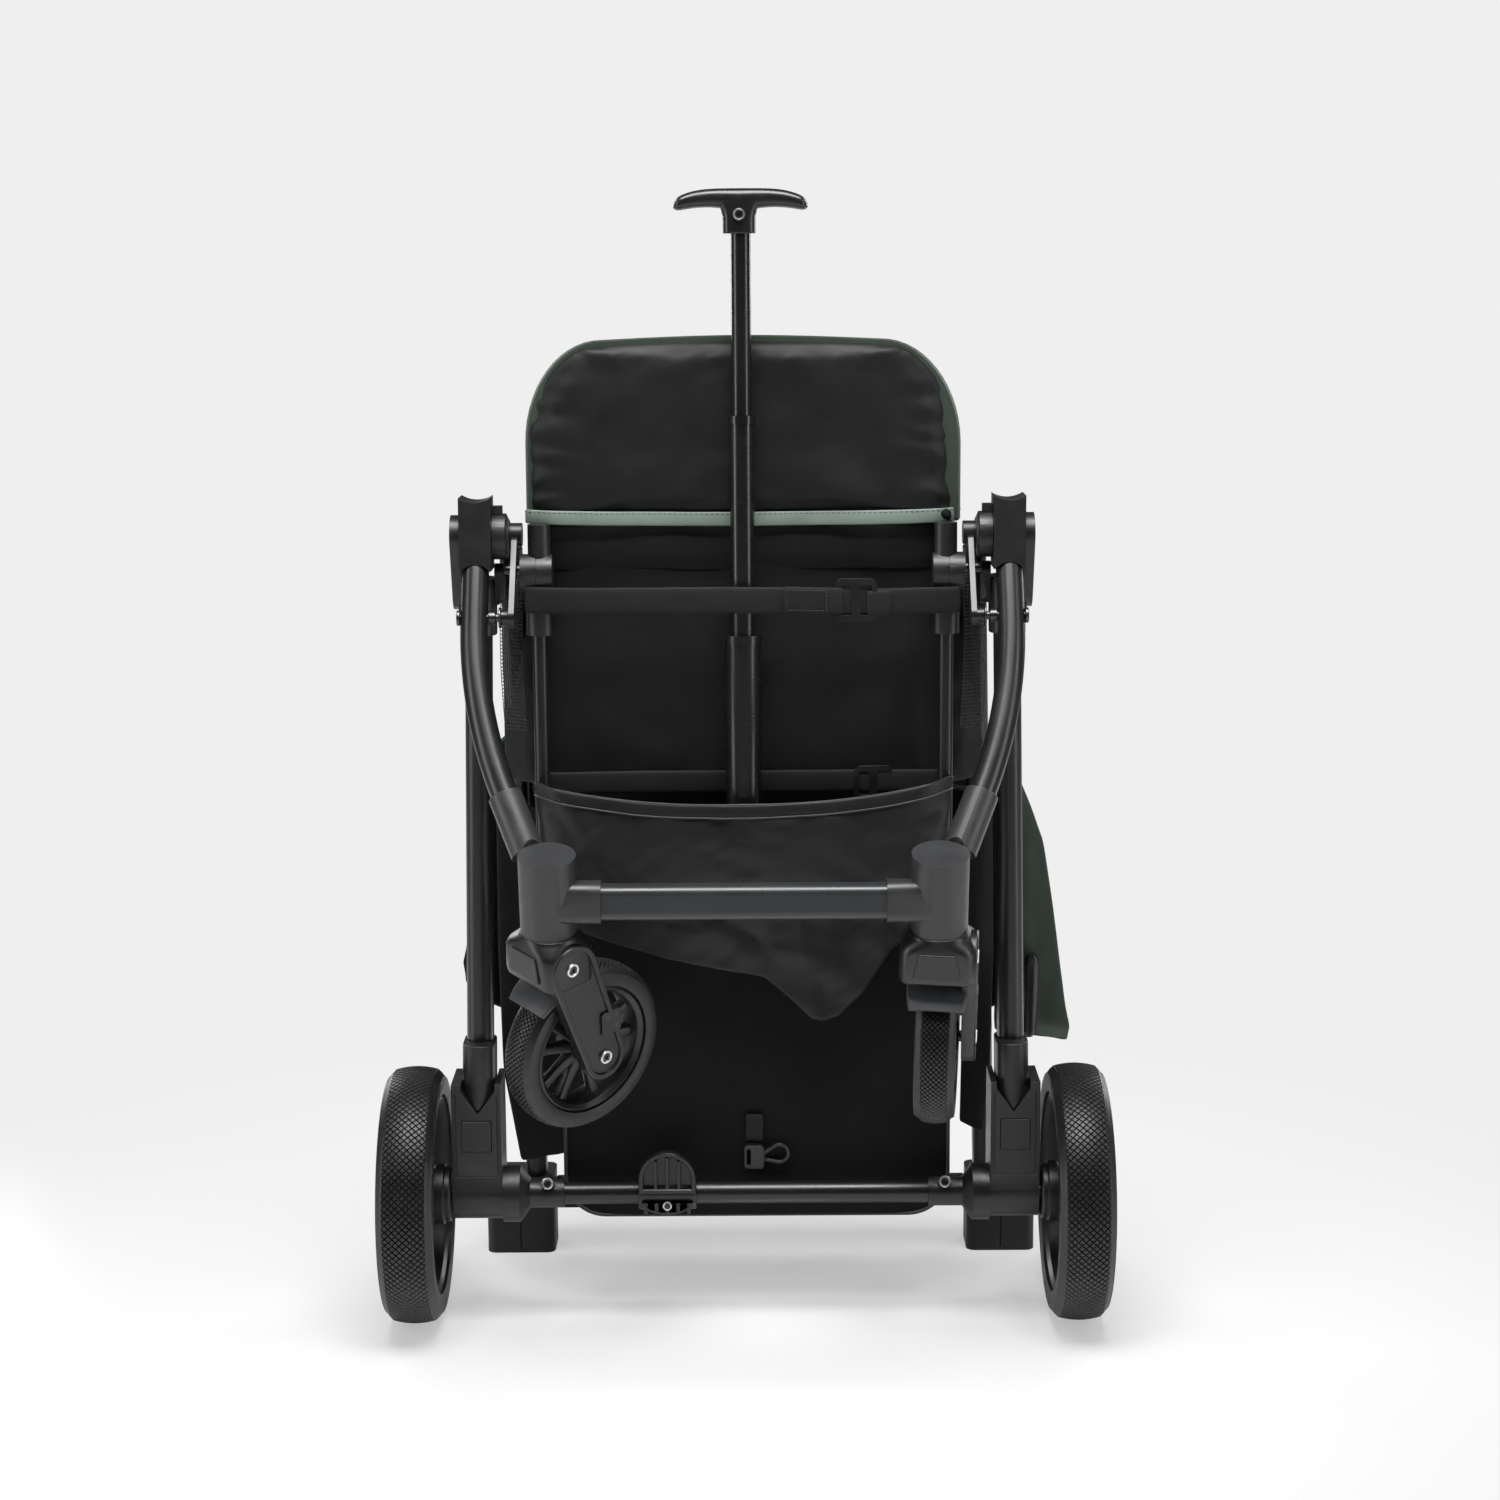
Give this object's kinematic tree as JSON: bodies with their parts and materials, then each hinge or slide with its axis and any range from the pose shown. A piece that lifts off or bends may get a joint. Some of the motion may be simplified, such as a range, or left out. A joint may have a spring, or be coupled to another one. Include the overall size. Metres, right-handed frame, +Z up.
{
  "type": "pet stroller",
  "caption": "Folding pet stroller in its folded state, standing on rear wheels and handle, with swivel casters, a pull rod and fabric seat.",
  "frame": {"origin": "centre of the footprint's box, on the floor under the folded stroller", "axes": "+X is the stroller's width from left to right, -Y is the side that the folded front legs face, +Z is up"},
  "size_m": [0.533, 0.3338, 0.832],
  "materials": {
    "frame_tube": "black powder coat, satin",
    "crossbar_tube": "dark grey coat, satin",
    "rod_tube": "black, semi-gloss",
    "casting_plastic": "fine moulded grain",
    "caster_plastic": "fine moulded grain",
    "fender_plastic": "satin grey",
    "smooth_plastic": "semi-gloss black",
    "steel": "plated",
    "tyre_foam": "matt, knurled tread",
    "rim_plastic": "satin",
    "seat_fabric": "plain woven black with a sage trim",
    "basket_fabric": "plain woven black with a piped hem",
    "canopy_fabric": "woven, black panels with a sage green front",
    "webbing": "ribbed polyester webbing",
    "foot_rubber": "matt",
    "grip_foam": "matt foam"
  },
  "bodies": {
    "rear_frame": {"rear_leg_left": "frame_tube", "rear_leg_right": "frame_tube", "leg_sleeves": "casting_plastic", "wheel_housing_left": "casting_plastic", "wheel_housing_right": "casting_plastic", "rear_hinges": "casting_plastic", "hinge_bolts": "steel", "axle_tube": "frame_tube", "axle_sockets": "casting_plastic", "socket_screws": "steel", "rear_axle_pins": "steel", "basket": "basket_fabric"},
    "front_frame": {"front_caps": "casting_plastic", "front_leg_left": "frame_tube", "front_leg_right": "frame_tube", "front_sleeves": "casting_plastic", "front_hub_left": "casting_plastic", "front_hub_right": "casting_plastic", "crossbar": "crossbar_tube", "link_bolts": "steel"},
    "seat": {"seat_tube_left": "frame_tube", "seat_tube_right": "frame_tube", "seat_cross_tube": "frame_tube", "ratchet_hub_left": "casting_plastic", "ratchet_hub_right": "casting_plastic", "leg_rest": "seat_fabric", "seat_panel": "seat_fabric", "seat_straps": "webbing", "strap_buckles": "smooth_plastic", "rod_outer_tube": "rod_tube"},
    "rod_middle": {"rod_middle_tube": "rod_tube"},
    "rod_inner": {"rod_inner_tube": "rod_tube", "rod_grip": "smooth_plastic"},
    "links": {"drive_links": "frame_tube"},
    "backrest": {"backrest_panel": "seat_fabric", "recline_clip": "smooth_plastic"},
    "handle": {"handle_tube_left": "frame_tube", "handle_tube_right": "frame_tube", "handle_hinges": "casting_plastic", "handle_feet": "foot_rubber", "handle_grip": "grip_foam", "canopy_rear": "canopy_fabric"},
    "canopy": {"canopy_front": "canopy_fabric"},
    "brake": {"brake_pedal": "smooth_plastic"},
    "caster_left": {"caster_fork_left": "caster_plastic", "caster_fender_left": "fender_plastic", "caster_bolts_left": "steel"},
    "front_wheel_left": {"front_tyre_left": "tyre_foam", "front_rim_left": "rim_plastic"},
    "rear_wheel_left": {"rear_tyre_left": "tyre_foam", "rear_rim_left": "rim_plastic"},
    "button_left": {"release_button_left": "smooth_plastic"},
    "caster_right": {"caster_fork_right": "caster_plastic", "caster_fender_right": "fender_plastic", "caster_bolts_right": "steel"},
    "front_wheel_right": {"front_tyre_right": "tyre_foam", "front_rim_right": "rim_plastic"},
    "rear_wheel_right": {"rear_tyre_right": "tyre_foam", "rear_rim_right": "rim_plastic"},
    "button_right": {"release_button_right": "smooth_plastic"}
  },
  "joints": [
    {"name": "fold", "type": "hinge", "parent": "rear_frame", "child": "front_frame", "pos_m": [0, -0.01013, 0.587], "axis": [1, 0, 0], "range_deg": [-65, 0]},
    {"name": "link_pivot", "type": "hinge", "parent": "front_frame", "child": "links", "pos_m": [0, -0.04096, 0.53206], "axis": [1, 0, 0], "range_deg": [-3, 1]},
    {"name": "seat_tilt", "type": "hinge", "parent": "rear_frame", "child": "seat", "pos_m": [0, -0.00413, 0.562], "axis": [1, 0, 0], "range_deg": [0, 37]},
    {"name": "backrest_recline", "type": "hinge", "parent": "seat", "child": "backrest", "pos_m": [0, -0.00413, 0.326], "axis": [1, 0, 0], "range_deg": [0, 64]},
    {"name": "handle_fold", "type": "hinge", "parent": "rear_frame", "child": "handle", "pos_m": [0, -0.01013, 0.587], "axis": [1, 0, 0], "range_deg": [0, 99]},
    {"name": "canopy_open", "type": "hinge", "parent": "handle", "child": "canopy", "pos_m": [0, 0.09021, 0.4367], "axis": [1, 0, 0], "range_deg": [0, 110]},
    {"name": "rod_middle_slide", "type": "slide", "parent": "seat", "child": "rod_middle", "axis": [0, 0, 1], "range_m": [-0.14, 0]},
    {"name": "rod_inner_slide", "type": "slide", "parent": "rod_middle", "child": "rod_inner", "axis": [0, 0, 1], "range_m": [-0.125, 0]},
    {"name": "caster_swivel_left", "type": "hinge", "parent": "front_frame", "child": "caster_left", "pos_m": [-0.1348, -0.14031, 0.35503], "axis": [0, -0.2588, 0.9659], "continuous": true},
    {"name": "front_wheel_spin_left", "type": "hinge", "parent": "caster_left", "child": "front_wheel_left", "pos_m": [-0.11622, -0.0905, 0.23379], "axis": [0.6691, -0.7178, -0.1923], "continuous": true},
    {"name": "caster_swivel_right", "type": "hinge", "parent": "front_frame", "child": "caster_right", "pos_m": [0.1348, -0.14031, 0.35503], "axis": [0, -0.2588, 0.9659], "continuous": true},
    {"name": "front_wheel_spin_right", "type": "hinge", "parent": "caster_right", "child": "front_wheel_right", "pos_m": [0.13741, -0.08264, 0.23589], "axis": [0.9945, -0.101, -0.0271], "continuous": true},
    {"name": "rear_wheel_spin_left", "type": "hinge", "parent": "rear_frame", "child": "rear_wheel_left", "pos_m": [-0.246, -0.01013, 0.095], "axis": [1, 0, 0], "continuous": true},
    {"name": "rear_wheel_spin_right", "type": "hinge", "parent": "rear_frame", "child": "rear_wheel_right", "pos_m": [0.246, -0.01013, 0.095], "axis": [1, 0, 0], "continuous": true},
    {"name": "brake_rock", "type": "hinge", "parent": "rear_frame", "child": "brake", "pos_m": [0, -0.01013, 0.095], "axis": [1, 0, 0], "range_deg": [0, 16]},
    {"name": "button_press_left", "type": "slide", "parent": "rear_frame", "child": "button_left", "axis": [0, 1, 0], "range_m": [0, 0.0025], "stiffness_N_per_m": 600},
    {"name": "button_press_right", "type": "slide", "parent": "rear_frame", "child": "button_right", "axis": [0, 1, 0], "range_m": [0, 0.0025], "stiffness_N_per_m": 600}
  ],
  "couplings": [
    {"joint": "link_pivot", "follows": "fold", "ratio": 0.037},
    {"joint": "seat_tilt", "follows": "fold", "ratio": -0.5692},
    {"joint": "backrest_recline", "follows": "fold", "ratio": -0.9846},
    {"joint": "handle_fold", "follows": "fold", "ratio": -1.523}
  ]
}
